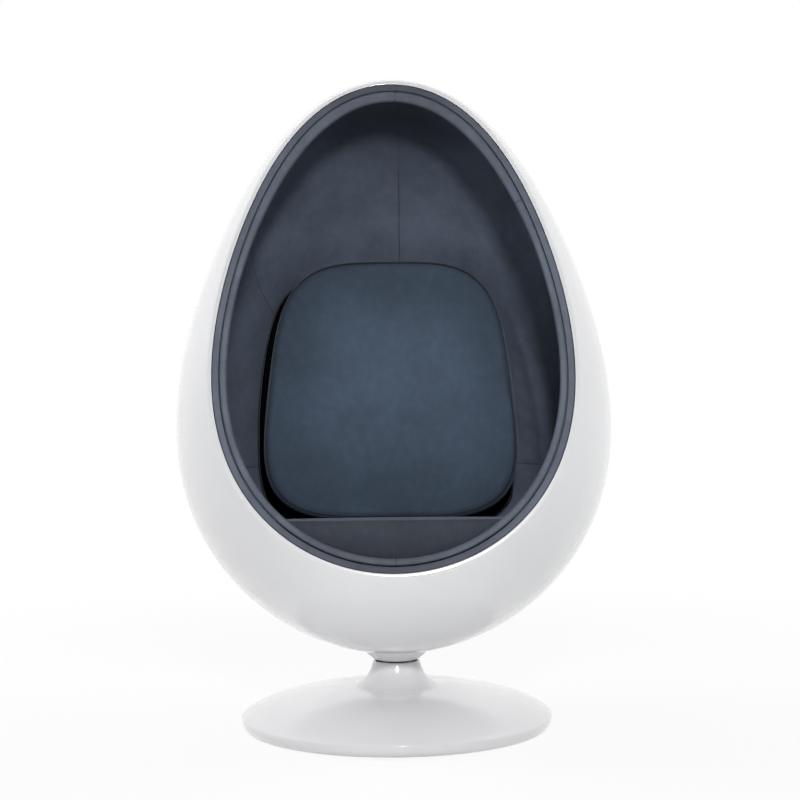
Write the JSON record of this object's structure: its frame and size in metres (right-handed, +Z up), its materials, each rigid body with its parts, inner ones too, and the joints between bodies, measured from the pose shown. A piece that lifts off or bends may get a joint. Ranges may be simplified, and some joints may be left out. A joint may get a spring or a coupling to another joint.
{
  "type": "pod chair",
  "caption": "Egg-shaped swivel pod chair: glossy shell cut by a slanted padded opening, dark upholstered inside, loose back cushion, round trumpet base.",
  "frame": {"origin": "on the floor under the swivel axis", "axes": "+Z up along the swivel axis; the opening faces -Y; +X is to the right as seen from the front"},
  "size_m": [0.8722, 0.7938, 1.299],
  "materials": {
    "white_gloss": "gloss white enamel",
    "shell_gloss": "polished white gel coat",
    "black_rubber": "matt",
    "raw_steel": "mill finish",
    "bright_steel": "ground",
    "zinc_steel": "zinc plated",
    "bronze": "turned",
    "plywood": "raw plywood",
    "slate_fabric": "short pile velvet, dark slate",
    "cushion_fabric": "short pile velvet, dark blue grey",
    "black_cloth": "thin black backing cloth"
  },
  "bodies": {
    "base": {"base_shell": "white_gloss", "underpad": "black_rubber", "floor_plate": "raw_steel", "centre_post": "raw_steel", "post_gussets": "raw_steel", "base_screws": "zinc_steel", "bearing_housing": "raw_steel", "upper_bush": "bronze", "lower_bush": "bronze", "thrust_race_lower": "bright_steel"},
    "bearing_cage": {"roller_cage": "bronze", "bearing_rollers": "bright_steel"},
    "pod": {"thrust_race_upper": "bright_steel", "swivel_spindle": "bright_steel", "spindle_circlip": "zinc_steel", "spindle_washer": "zinc_steel", "swivel_flange": "raw_steel", "collar": "white_gloss", "collar_screws": "zinc_steel", "seating_pad": "black_rubber", "pod_shell": "shell_gloss", "reinforcing_board": "plywood", "mounting_bolts": "zinc_steel", "bolt_washers": "zinc_steel", "rim_trim": "slate_fabric", "rim_roll": "slate_fabric", "back_dust_cloth": "black_cloth", "deck_battens": "plywood", "seat_deck": "plywood", "deck_screws": "zinc_steel", "apron_board": "plywood", "apron_screws": "zinc_steel", "apron_pad": "slate_fabric", "seat_pad": "slate_fabric", "lining_hood_left": "slate_fabric", "lining_hood_right": "slate_fabric", "lining_side_left": "slate_fabric", "lining_side_right": "slate_fabric", "lining_lower_left": "slate_fabric", "lining_lower_right": "slate_fabric"},
    "loose_cushion": {"back_cushion": "cushion_fabric"}
  },
  "joints": [
    {"name": "pod_swivel", "type": "hinge", "parent": "base", "child": "pod", "pos_m": [0, 0, 0.12], "axis": [0, 0, 1], "continuous": true},
    {"name": "bearing_cage_spin", "type": "hinge", "parent": "base", "child": "bearing_cage", "pos_m": [0, 0, 0.12], "axis": [0, 0, 1], "continuous": true},
    {"name": "back_cushion_lift", "type": "slide", "parent": "pod", "child": "loose_cushion", "axis": [0, -0.9806, 0.1961], "range_m": [0, 0.5]}
  ],
  "couplings": [
    {"joint": "bearing_cage_spin", "follows": "pod_swivel", "ratio": 0.5}
  ]
}
